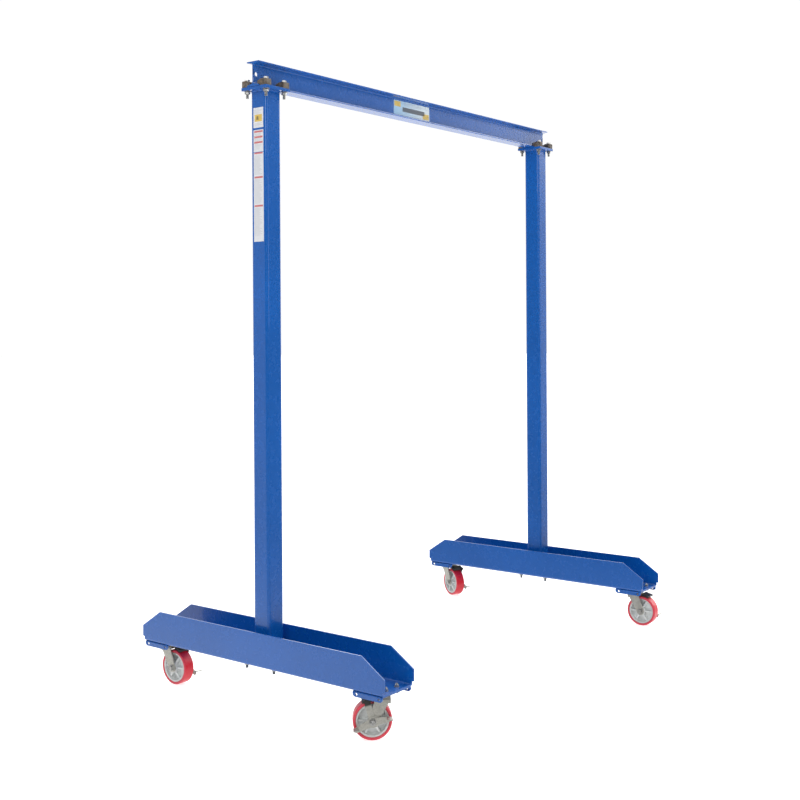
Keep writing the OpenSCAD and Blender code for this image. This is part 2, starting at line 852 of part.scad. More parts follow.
beam();
upright(-1);  // upright_left
upright(1);  // upright_right
top_plates();
foot_plates();
base_channel(-1);  // base_channel_left
base_channel(1);  // base_channel_right
caster_pads();
beam_clamps();
clamp_bolts();
foot_bolts();
frame_nuts();
frame_washers();
upright_labels();
beam_label();
caster_plates();
caster_bolts();
caster_nuts();
kingpins();
swivel_balls();
for (c = CASTERS, piece = CASTER_PIECES)
    at_caster(c[1], c[2], c[3]) caster_piece(piece);
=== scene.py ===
"""Looks of a portable gantry crane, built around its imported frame."""

import json
import math

import bmesh
import bpy
from bpy.props import FloatProperty, FloatVectorProperty, PointerProperty
from mathutils import Matrix, Vector


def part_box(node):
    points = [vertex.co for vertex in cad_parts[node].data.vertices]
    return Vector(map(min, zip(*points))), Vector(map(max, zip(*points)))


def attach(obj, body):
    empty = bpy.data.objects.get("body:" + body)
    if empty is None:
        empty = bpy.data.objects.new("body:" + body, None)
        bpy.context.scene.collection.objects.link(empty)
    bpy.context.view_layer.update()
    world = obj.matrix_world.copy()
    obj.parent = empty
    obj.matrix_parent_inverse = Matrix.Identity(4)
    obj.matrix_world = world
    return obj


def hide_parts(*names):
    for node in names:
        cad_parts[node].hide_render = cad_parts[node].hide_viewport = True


bl_info = {
    "name": "Portable gantry crane",
    "version": (1, 0, 0),
    "blender": (4, 5, 0),
    "location": "View3D > Sidebar > Crane",
    "description": "Builds the finishes and fine pieces of a portable gantry crane",
    "category": "Object",
}

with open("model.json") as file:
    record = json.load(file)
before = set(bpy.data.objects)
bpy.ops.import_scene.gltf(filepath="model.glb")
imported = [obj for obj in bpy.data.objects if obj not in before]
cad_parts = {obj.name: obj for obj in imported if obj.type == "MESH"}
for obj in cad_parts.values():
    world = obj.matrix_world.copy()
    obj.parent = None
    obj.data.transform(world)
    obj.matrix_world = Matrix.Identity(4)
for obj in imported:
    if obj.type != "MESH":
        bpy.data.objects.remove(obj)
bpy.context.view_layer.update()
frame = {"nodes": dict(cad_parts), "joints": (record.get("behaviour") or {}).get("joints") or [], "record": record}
NODES = frame["nodes"]
JOINTS = {joint["name"]: joint for joint in frame["joints"]}
BODY_OF = {
    node: body
    for body, members in frame["record"]["behaviour"]["bodies"].items()
    for node in members
}
CASTERS = [name[len("swivel_"):] for name in JOINTS if name.startswith("swivel_")]
SIDES = ("left", "right")
WORLD_UP = Vector((0, 0, 1))

# Radii and half width that the wheels' and brake arms' finishes follow
WHEEL_RADIUS = JOINTS["roll_" + CASTERS[0]]["pos_m"][2]
TREAD_HALF = WHEEL_RADIUS / 3
RIM_EDGE = WHEEL_RADIUS - 0.0172
# Radii from the axle between which a brake arm's zinc darkens to near black
ARM_DARK_START = WHEEL_RADIUS - 0.0142
ARM_DARK_FULL = WHEEL_RADIUS - 0.0062


# ---------------------------------------------------------------- shader expressions


def feed(tree, socket, item):
    """Links a Value to a socket, or sets the socket to a plain number, colour or vector."""
    if isinstance(item, Value):
        tree.links.new(item.socket, socket)
    else:
        socket.default_value = item


class Value:
    """A node's output in a material; Python's operators on it add Math nodes."""

    def __init__(self, tree, socket):
        self.tree = tree
        self.socket = socket

    def math(self, operation, *items):
        node = self.tree.nodes.new("ShaderNodeMath")
        node.operation = operation
        for socket, item in zip(node.inputs, items):
            feed(self.tree, socket, item)
        return Value(self.tree, node.outputs[0])

    def __add__(self, other):
        return self.math("ADD", self, other)

    def __radd__(self, other):
        return self.math("ADD", other, self)

    def __sub__(self, other):
        return self.math("SUBTRACT", self, other)

    def __rsub__(self, other):
        return self.math("SUBTRACT", other, self)

    def __mul__(self, other):
        return self.math("MULTIPLY", self, other)

    def __rmul__(self, other):
        return self.math("MULTIPLY", other, self)

    def __truediv__(self, other):
        return self.math("DIVIDE", self, other)

    def __rtruediv__(self, other):
        return self.math("DIVIDE", other, self)

    def __neg__(self):
        return self.math("MULTIPLY", self, -1.0)

    def __abs__(self):
        return self.math("ABSOLUTE", self)

    def floor(self):
        return self.math("FLOOR", self)

    def fraction(self):
        return self.math("FRACT", self)

    def root(self):
        return self.math("SQRT", self)


class Graph:
    """The node tree of a material or a world, and the coordinates that its textures use."""

    def __init__(self, owner, coordinates):
        owner.use_nodes = True
        self.tree = owner.node_tree
        self.tree.nodes.clear()
        self.place = self.node("ShaderNodeTexCoord", {}, {}, coordinates)

    def node(self, kind, settings, inputs, output=0):
        node = self.tree.nodes.new(kind)
        for name, value in settings.items():
            setattr(node, name, value)
        for name, item in inputs.items():
            feed(self.tree, node.inputs[name], item)
        return Value(self.tree, node.outputs[output])

    def axes(self, vector=None):
        """The three numbers of a vector, or of the Object coordinates."""
        split = self.tree.nodes.new("ShaderNodeSeparateXYZ")
        feed(self.tree, split.inputs[0], vector or self.place)
        return [Value(self.tree, socket) for socket in split.outputs]

    def vector(self, x, y, z):
        return self.node("ShaderNodeCombineXYZ", {}, {"X": x, "Y": y, "Z": z})

    def dot(self, a, b):
        return self.node("ShaderNodeVectorMath", {"operation": "DOT_PRODUCT"}, {0: a, 1: b}, "Value")

    def noise(self, scale, detail=3.0, roughness=0.5, at=None):
        inputs = {"Vector": at or self.place, "Scale": scale, "Detail": detail, "Roughness": roughness}
        return self.node("ShaderNodeTexNoise", {}, inputs)

    def grain(self, scale, at=None):
        """Cells of one random grey each."""
        inputs = {"Vector": at or self.place, "Scale": scale}
        cells = self.node("ShaderNodeTexVoronoi", {}, inputs, "Color")
        return self.axes(cells)[0]

    def ease(self, value, low, high):
        """0 below low, 1 above high, and smooth between them."""
        inputs = {"Value": value, "From Min": low, "From Max": high}
        return self.node("ShaderNodeMapRange", {"interpolation_type": "SMOOTHSTEP"}, inputs)

    def between(self, value, low, high, soft):
        """1 where value is from low to high."""
        return self.ease(value, low - soft, low + soft) * (1 - self.ease(value, high - soft, high + soft))

    def mix(self, mask, a, b):
        """Colour a where mask is 0, and b where it is 1."""
        return self.node("ShaderNodeMix", {"data_type": "RGBA"}, {0: mask, 6: a, 7: b}, 2)


class Finish(Graph):
    """A material under construction, with its Principled shader."""

    def __init__(self, name, **constants):
        self.material = bpy.data.materials.new(name)
        super().__init__(self.material, "Object")
        output = self.tree.nodes.new("ShaderNodeOutputMaterial")
        self.shader = self.tree.nodes.new("ShaderNodeBsdfPrincipled")
        self.tree.links.new(self.shader.outputs[0], output.inputs[0])
        self.set(**constants)
        self.normal = None

    def set(self, **sockets):
        """Sets or links the shader's sockets; Base_Color stands for Base Color."""
        for name, item in sockets.items():
            feed(self.tree, self.shader.inputs[name.replace("_", " ")], item)

    def edges(self, radius, low=0.03, high=0.3):
        """1 near an edge, 0 on the flat."""
        turned = self.node("ShaderNodeBevel", {"samples": 4}, {"Radius": radius})
        true = self.node("ShaderNodeNewGeometry", {}, {}, "Normal")
        return self.ease(1 - self.dot(turned, true), low, high)

    def facing_up(self):
        return self.axes(self.node("ShaderNodeNewGeometry", {}, {}, "Normal"))[2]

    def bump(self, height, strength, distance):
        """Adds a relief to those already on the surface."""
        inputs = {"Height": height, "Strength": strength, "Distance": distance}
        if self.normal:
            inputs["Normal"] = self.normal
        self.normal = self.node("ShaderNodeBump", {}, inputs)
        self.set(Normal=self.normal)


# ---------------------------------------------------------------- finishes


def enamel(choice):
    """Glossy blue enamel over steel, with orange peel, dust and rubbed edges."""
    f = Finish("blue_enamel", Metallic=0.0, IOR=1.5, Coat_Roughness=0.05, Coat_IOR=1.5)
    drift = f.noise(2.2, 2.0)
    cloud = f.noise(31.0, 4.0, 0.6)
    tone = f.ease(drift * 0.7 + cloud * 0.3, 0.3, 0.7)
    deep = choice.paint_colour
    light = [c * 1.16 for c in deep]
    colour = f.mix(tone, [*deep, 1], [*light, 1])
    dust = f.ease(f.facing_up(), 0.75, 1.0) * f.ease(f.noise(9.0, 5.0, 0.6), 0.35, 0.8)
    colour = f.mix(dust * 0.10, colour, [0.42, 0.43, 0.44, 1])
    rub = f.edges(0.0016) * f.ease(f.noise(60.0, 4.0, 0.65), 0.56, 0.68)
    colour = f.mix(rub * 0.55, colour, [0.16, 0.20, 0.27, 1])
    f.set(Base_Color=colour, Roughness=0.24 + dust * 0.2 + rub * 0.15 + cloud * 0.06)
    f.set(Coat_Weight=0.50 - dust * 0.35)
    f.bump(f.noise(14.0, 2.0), 0.22, 0.0011)
    f.bump(f.noise(420.0, 2.0, 0.4), 0.05, 0.0003)
    return f.material


def caster_zinc(choice, caster=None):
    """Yellowish zinc plate with spangle, rolling marks and scuffs; a brake arm's darkens to near black near its
    shoe.
    """
    f = Finish("brake_arm_zinc_" + caster if caster else "caster_zinc_plate", IOR=1.6)
    x, y, z = f.axes()
    spangle = f.grain(260.0)
    mottle = f.noise(45.0, 5.0, 0.6)
    streak = f.noise(24.0, 3.0, 0.5, at=f.vector(x, y, z * 9.0))
    tone = f.ease(mottle * 0.6 + spangle * 0.2 + streak * 0.2, 0.3, 0.72)
    warm = choice.zinc_colour
    cool = [c * 0.72 for c in warm]
    colour = f.mix(tone, [*cool, 1], [*warm, 1])
    stain = f.ease(f.noise(17.0, 4.0, 0.7), 0.58, 0.78)
    colour = f.mix(stain * 0.3, colour, [0.25, 0.22, 0.16, 1])
    if caster:
        along, across, above = wheel_axes(f, caster)
        radius = (along * along + above * above).root()
        # The arm's zinc darkens to near black from ARM_DARK_START out to ARM_DARK_FULL, towards its brake shoe
        dark_near_shoe = f.ease(radius + mottle * 0.004, ARM_DARK_START, ARM_DARK_FULL)
        colour = f.mix(dark_near_shoe * 0.92, colour, [0.022, 0.022, 0.024, 1])
    f.set(Base_Color=colour, Metallic=0.86 - stain * 0.25)
    f.set(Roughness=0.36 + mottle * 0.16 + stain * 0.12)
    f.bump(mottle, 0.12, 0.0006)
    f.bump(f.noise(900.0, 2.0), 0.08, 0.0002)
    return f.material


def bolt_zinc():
    """Bright zinc plate on bolts, nuts and washers."""
    f = Finish("bolt_zinc_plate", IOR=1.6)
    mottle = f.noise(120.0, 4.0, 0.6)
    grey = f.ease(mottle, 0.3, 0.7)
    colour = f.mix(grey, [0.34, 0.34, 0.33, 1], [0.56, 0.56, 0.54, 1])
    dull = f.ease(f.noise(35.0, 3.0), 0.5, 0.75)
    colour = f.mix(dull * 0.35, colour, [0.36, 0.34, 0.30, 1])
    f.set(Base_Color=colour, Metallic=0.92, Roughness=0.26 + dull * 0.22 + mottle * 0.1)
    f.bump(f.noise(700.0, 2.0), 0.10, 0.0002)
    return f.material


def clamp_iron():
    """Forged clamps with oiled scale, rubbed brighter on the edges."""
    f = Finish("forged_clamp_scale", IOR=1.5)
    scale = f.noise(60.0, 6.0, 0.65)
    patch = f.ease(f.noise(28.0, 4.0, 0.6), 0.42, 0.62)
    colour = f.mix(f.ease(scale, 0.3, 0.7), [0.070, 0.062, 0.053, 1], [0.23, 0.205, 0.18, 1])
    colour = f.mix(patch * 0.5, colour, [0.20, 0.135, 0.085, 1])
    bright = f.edges(0.0022) * f.ease(f.noise(90.0, 3.0), 0.35, 0.6)
    colour = f.mix(bright * 0.6, colour, [0.42, 0.39, 0.35, 1])
    f.set(Base_Color=colour, Metallic=0.55 + bright * 0.3, Roughness=0.58 - bright * 0.2 + scale * 0.1)
    f.bump(scale, 0.5, 0.0014)
    f.bump(f.noise(420.0, 3.0), 0.35, 0.0004)
    return f.material


def bearing_steel():
    """Ground and oiled steel of the races, rollers and sleeves."""
    f = Finish("ground_bearing_steel", IOR=1.6)
    haze = f.noise(150.0, 3.0)
    f.set(Base_Color=f.mix(haze, [0.42, 0.42, 0.41, 1], [0.58, 0.58, 0.57, 1]))
    f.set(Metallic=0.95, Roughness=0.24 + haze * 0.12)
    f.bump(f.noise(1200.0, 2.0), 0.05, 0.0001)
    return f.material


def axle_frame(caster):
    """Matrix of a wheel's own frame: trail along X, the brake's side along Y, Z up."""
    joint = JOINTS["roll_" + caster]
    side = Vector(joint["axis"]).normalized()
    trail = side.cross(WORLD_UP)
    turn = Matrix((trail, side, WORLD_UP)).transposed().to_4x4()
    return Matrix.Translation(joint["pos_m"]) @ turn


def wheel_axes(f, caster):
    """A point's place along, across and above the axle, on a wheel's material."""
    place = axle_frame(caster).inverted()
    numbers = []
    for row in place:
        numbers.append(f.dot(f.place, [row[0], row[1], row[2]]) + row[3])
    return numbers[:3]


def cast_hub(caster, choice):
    """Silver paint on a sand-cast hub, with patches of grime, painted shade along its edges and in its corners,
    and a turned rim edge.
    """
    f = Finish("cast_hub_" + caster, IOR=1.5)
    x, y, z = wheel_axes(f, caster)
    radius = (x * x + z * z).root()
    sand = f.noise(520.0, 4.0, 0.6)
    drift = f.noise(26.0, 4.0, 0.6)
    tone = f.ease(drift, 0.3, 0.7)
    colour = f.mix(tone, [*[c * 0.78 for c in choice.hub_colour], 1], [*choice.hub_colour, 1])
    # Painted shade: the silver is darkened along every edge and in every corner
    corner_shade = f.edges(0.004, 0.02, 0.25)
    grime = f.ease(f.noise(48.0, 5.0, 0.65), 0.45, 0.7)
    colour = f.mix(grime * 0.18, colour, [0.14, 0.14, 0.135, 1])
    # mixes the painted shade into the edges and corners
    colour = f.mix(corner_shade * 0.25, colour, [0.60, 0.61, 0.60, 1])
    turned = f.ease(radius, RIM_EDGE - 0.0005, RIM_EDGE + 0.0005)
    f.set(Base_Color=f.mix(turned * 0.5, colour, [0.62, 0.63, 0.62, 1]))
    f.set(Metallic=0.30 + turned * 0.30, Roughness=0.46 + sand * 0.12 - turned * 0.12)
    f.bump(sand, 0.5, 0.0004)
    f.bump(drift, 0.2, 0.001)
    return f.material


def red_tread(caster, choice):
    """Moulded red polyurethane, hazed where it runs on the floor, with a painted highlight that makes its side
    walls paler.
    """
    f = Finish("red_tread_" + caster, IOR=1.5, Subsurface_Weight=0.02, Subsurface_Scale=0.004)
    x, y, z = wheel_axes(f, caster)
    radius = (x * x + z * z).root()
    # Mask of the side walls, where a painted highlight is mixed in; the walls are also a little rougher
    wall_highlight = f.ease(abs(y), TREAD_HALF - 0.005, TREAD_HALF)
    inside = 1 - f.ease(abs(y), TREAD_HALF - 0.011, TREAD_HALF - 0.003)
    running = f.ease(radius, WHEEL_RADIUS - 0.0027, WHEEL_RADIUS - 0.0002) * inside
    body = choice.tread_colour
    pale = [min(1.0, c * 1.08 + 0.012) for c in body]
    cloud = f.noise(22.0, 4.0, 0.6)
    colour = f.mix(f.ease(cloud, 0.3, 0.7) * 0.6, [*body, 1], [*pale, 1])
    # Painted highlight: the side walls are mixed towards a paler pink
    colour = f.mix(wall_highlight * 0.45, colour, [0.62, 0.10, 0.14, 1])
    scuff = running * f.ease(f.noise(65.0, 6.0, 0.7), 0.42, 0.72)
    colour = f.mix(scuff * 0.16, colour, [0.40, 0.14, 0.15, 1])
    f.set(Base_Color=colour, Roughness=0.30 + scuff * 0.28 + wall_highlight * 0.12, Coat_Weight=0.15 - running * 0.1)
    mould_line = 0.0011
    rings = ((y / mould_line).fraction() - 0.5) * running
    f.bump(abs(rings), 0.06, 0.0002)
    f.bump(f.noise(260.0, 3.0), 0.12, 0.0003)
    return f.material


def black_rubber(name):
    """Black friction rubber, dusty where it isn't rubbed."""
    f = Finish(name, IOR=1.48)
    dust = f.ease(f.noise(55.0, 5.0, 0.65), 0.40, 0.75)
    f.set(Base_Color=f.mix(dust * 0.35, [0.016, 0.017, 0.019, 1], [0.10, 0.10, 0.10, 1]))
    f.set(Metallic=0.0, Roughness=0.52 + dust * 0.25)
    f.bump(f.noise(600.0, 3.0), 0.35, 0.0004)
    return f.material


def printed_rows(f, across, down, top, bottom, half_width, pitch):
    """Thin grey rules of uneven length between two heights, without any lettering."""
    row = (down / pitch).floor()
    length = f.node("ShaderNodeTexWhiteNoise", {"noise_dimensions": "1D"}, {"W": row})
    line = f.between((down / pitch).fraction(), 0.25, 0.62, 0.06)
    reach = 1 - f.ease(across, half_width * (0.1 + length * 0.8), half_width * (0.12 + length * 0.82))
    left = f.ease(across, -half_width, -half_width + 0.0006)
    return line * reach * left * f.between(down, top, bottom, 0.0004)


def block(f, across, down, left, right, top, bottom):
    return f.between(across, left, right, 0.0004) * f.between(down, top, bottom, 0.0004)


def film(f, colour, ink_gloss):
    """Finish of a laminated label: its print under a clear film."""
    scuffed = f.ease(f.noise(70.0, 5.0, 0.6), 0.5, 0.8)
    f.set(Base_Color=colour, Roughness=ink_gloss + scuffed * 0.12, Coat_Weight=0.6 - scuffed * 0.2)
    f.bump(f.noise(160.0, 3.0), 0.05, 0.0003)
    return f.material


WHITE_FILM = [0.62, 0.63, 0.66, 1]
GREY_INK = [0.30, 0.31, 0.33, 1]
RED_INK = [0.50, 0.060, 0.060, 1]
YELLOW_INK = [0.60, 0.42, 0.09, 1]
DARK_INK = [0.03, 0.035, 0.05, 1]

# On the upright's labels, measured down from the first one's top edge
RULED_BLOCKS = (
    (0.006, 0.024, 0.0042), (0.062, 0.077, 0.0042),
    (0.105, 0.117, 0.0036), (0.127, 0.139, 0.0036), (0.149, 0.174, 0.0036),
    (0.196, 0.278, 0.0044), (0.296, 0.396, 0.0044), (0.414, 0.530, 0.0044),
)
HEADINGS = (0.0955, 0.118, 0.140, 0.184, 0.284, 0.402)
HEADING_HEIGHT = 0.0075


def upright_labels_film():
    """White labels with generic bars: a yellow block on the first, red headings on the others."""
    f = Finish("upright_label_film", IOR=1.5, Coat_Roughness=0.12)
    low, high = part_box("upright_labels")
    x, y, z = f.axes()
    across = (low.y + high.y) / 2 - y
    down = high.z - z
    half = (high.y - low.y) / 2 - 0.004
    colour = WHITE_FILM
    for top, bottom, pitch in RULED_BLOCKS:
        colour = f.mix(printed_rows(f, across, down, top, bottom, half, pitch) * 0.55, colour, GREY_INK)
    colour = f.mix(block(f, across, down, -half * 0.86, half * 0.86, 0.029, 0.058), colour, YELLOW_INK)
    colour = f.mix(block(f, across, down, -half * 0.45, half * 0.05, 0.036, 0.051) * 0.7, colour, DARK_INK)
    for top in HEADINGS:
        colour = f.mix(block(f, across, down, -half, half, top, top + HEADING_HEIGHT) * 0.85, colour, RED_INK)
    return film(f, colour, 0.3)


def beam_label_film():
    """Pale blue label with two yellow panels and a plain dark band."""
    f = Finish("beam_label_film", IOR=1.5, Coat_Roughness=0.12)
    low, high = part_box("beam_label")
    x, y, z = f.axes()
    along = x - low.x
    down = high.z - z
    length = high.x - low.x
    depth = high.z - low.z
    fade = f.ease(along, 0.0, length)
    colour = f.mix(fade, [0.30, 0.50, 0.70, 1], [0.62, 0.70, 0.74, 1])
    panel_l = 0.19 * length
    colour = f.mix(block(f, along, down, 0.004, panel_l, 0.004, depth * 0.42), colour, YELLOW_INK)
    second = block(f, along, down, length - panel_l, length - 0.004, depth * 0.55, depth - 0.004)
    colour = f.mix(second, colour, YELLOW_INK)
    band = block(f, along, down, 0.24 * length, 0.86 * length, 0.40 * depth, 0.72 * depth)
    colour = f.mix(band * 0.9, colour, DARK_INK)
    rows = printed_rows(f, along - 0.55 * length, down, 0.006, 0.34 * depth, 0.28 * length, 0.0052)
    colour = f.mix(rows * 0.6, colour, GREY_INK)
    return film(f, colour, 0.28)


# ---------------------------------------------------------------- pieces

# Preparing a CAD node's mesh: its corners' merging distance, and the bend that still counts as flat
MERGE = 2e-6
FLAT = math.radians(0.4)

# Weld beads: sides, radius and lift out of the corner as shares of the leg, and ripples along them
BEAD_SIDES = 10
BEAD_RADIUS = 0.56
BEAD_LIFT = 0.12
BEAD_RIPPLES = ((0.05, 2.1), (0.03, 0.37))


def show(name, mesh, material, body, replaces=(), smooth=40):
    """Makes a piece of a mesh: shaded smooth up to an angle, and riding on its body."""
    mesh.materials.clear()
    mesh.materials.append(material)
    for face in mesh.polygons:
        face.use_smooth = True
    mesh.set_sharp_from_angle(angle=math.radians(smooth))
    piece = bpy.data.objects.new(name, mesh)
    bpy.context.scene.collection.objects.link(piece)
    normals = piece.modifiers.new("normals", "WEIGHTED_NORMAL")
    normals.keep_sharp = True
    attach(piece, body)
    if replaces:
        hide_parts(*replaces)
    return piece


def mesh_of(bm, name):
    mesh = bpy.data.meshes.new(name)
    bm.to_mesh(mesh)
    bm.free()
    return mesh


def ease_edges(bm, width, segments=2, angle=35):
    """Rounds every outer edge sharper than an angle."""
    sharp = [
        edge for edge in bm.edges
        if edge.is_manifold and edge.is_convex and edge.calc_face_angle() > math.radians(angle)
    ]
    bmesh.ops.bevel(
        bm, geom=sharp, offset=width, offset_type="OFFSET", segments=segments,
        profile=0.5, affect="EDGES", clamp_overlap=False, material=-1,
    )


def eased(node, name, material, width):
    """A copy of a CAD node with its outer edges rounded, which stands for the node."""
    bm = bmesh.new()
    bm.from_mesh(NODES[node].data)
    bmesh.ops.remove_doubles(bm, verts=bm.verts, dist=MERGE)
    bmesh.ops.dissolve_limit(bm, angle_limit=FLAT, verts=bm.verts, edges=bm.edges)
    ease_edges(bm, width)
    mesh = mesh_of(bm, name)
    return show(name, mesh, material, BODY_OF[node], replaces=(node,))


def dress(node, material):
    """Gives a CAD node that is shown as it is its finish."""
    mesh = NODES[node].data
    mesh.materials.clear()
    mesh.materials.append(material)


def square_path(low, high, radius, height, step):
    """Points around a rounded square in a level plane, each with its outward direction."""
    centre = (low + high) / 2
    flat_x = (high.x - low.x) / 2 - radius
    flat_y = (high.y - low.y) / 2 - radius
    bend = max(3, round(radius * math.pi / 2 / step))
    run = max(2, round(2 * flat_x / step))
    path = []
    for quarter in range(4):
        turn = Matrix.Rotation(quarter * math.pi / 2, 3, "Z")
        half = flat_y if quarter % 2 == 0 else flat_x
        reach = (flat_x if quarter % 2 == 0 else flat_y) + radius
        for i in range(run):
            point = Vector((reach, half * (2 * i / run - 1), 0))
            path.append((turn @ point, turn @ Vector((1, 0, 0))))
        for i in range(bend):
            angle = i / bend * math.pi / 2
            outward = Vector((math.cos(angle), math.sin(angle), 0))
            path.append((turn @ (Vector((reach - radius, half, 0)) + outward * radius), turn @ outward))
    return [(Vector((centre.x + point.x, centre.y + point.y, height)), outward) for point, outward in path]


def bead(bm, path, lift, leg, closed):
    """Adds a weld bead along a path of points with outward directions, swelling where it was laid."""
    rings = []
    last = len(path) - 1
    for index, (point, outward) in enumerate(path):
        swell = leg * (BEAD_RADIUS + sum(size * math.sin(index * rate) for size, rate in BEAD_RIPPLES))
        if not closed:
            swell *= min(1.0, 0.35 + 0.3 * min(index, last - index))
        turn = Matrix((outward, lift, outward.cross(lift))).transposed().to_4x4()
        place = Matrix.Translation(point + (outward + lift) * leg * BEAD_LIFT) @ turn
        cap = not closed and index in (0, last)
        made = bmesh.ops.create_circle(bm, segments=BEAD_SIDES, radius=swell, matrix=place, cap_ends=cap)
        rings.append(list({edge for vert in made["verts"] for edge in vert.link_edges}))
    for index, ring in enumerate(rings):
        if index < last:
            bmesh.ops.bridge_loops(bm, edges=ring + rings[index + 1])
        elif closed:
            bmesh.ops.bridge_loops(bm, edges=ring + rings[0])


# ---------------------------------------------------------------- settings


class CraneSettings(bpy.types.PropertyGroup):
    """Sizes and colours that a user may change."""

    edge_ease: FloatProperty(
        name="Edge ease", description="Radius on the outer edges of sawn and punched steel",
        default=0.0006, min=0.0001, max=0.003, subtype="DISTANCE", unit="LENGTH",
    )
    forged_ease: FloatProperty(
        name="Forged ease", description="Radius on the outer edges of the forged clamps",
        default=0.0016, min=0.0002, max=0.004, subtype="DISTANCE", unit="LENGTH",
    )
    weld_leg: FloatProperty(
        name="Weld leg", description="Leg of the fillet welds on the uprights and pads",
        default=0.006, min=0.002, max=0.012, subtype="DISTANCE", unit="LENGTH",
    )
    tube_corner: FloatProperty(
        name="Tube corner", description="Outer corner radius of the uprights",
        default=0.0127, min=0.008, max=0.016, subtype="DISTANCE", unit="LENGTH",
    )
    paint_colour: FloatVectorProperty(
        name="Paint", description="Blue enamel of the steelwork", subtype="COLOR",
        default=(0.001, 0.080, 0.335), min=0.0, max=1.0, size=3,
    )
    tread_colour: FloatVectorProperty(
        name="Tread", description="Red polyurethane of the wheels", subtype="COLOR",
        default=(0.64, 0.004, 0.022), min=0.0, max=1.0, size=3,
    )
    zinc_colour: FloatVectorProperty(
        name="Zinc", description="Yellowish zinc plate of the casters", subtype="COLOR",
        default=(0.62, 0.61, 0.55), min=0.0, max=1.0, size=3,
    )
    hub_colour: FloatVectorProperty(
        name="Hub", description="Silver paint of the cast hubs", subtype="COLOR",
        default=(0.80, 0.82, 0.81), min=0.0, max=1.0, size=3,
    )
    light_strength: FloatProperty(
        name="Studio light", description="Brightness of the white surroundings",
        default=1.0, min=0.1, max=3.0,
    )


def chosen():
    """The sizes and colours that are set on the scene."""
    return bpy.context.scene.crane_settings


# ---------------------------------------------------------------- operators


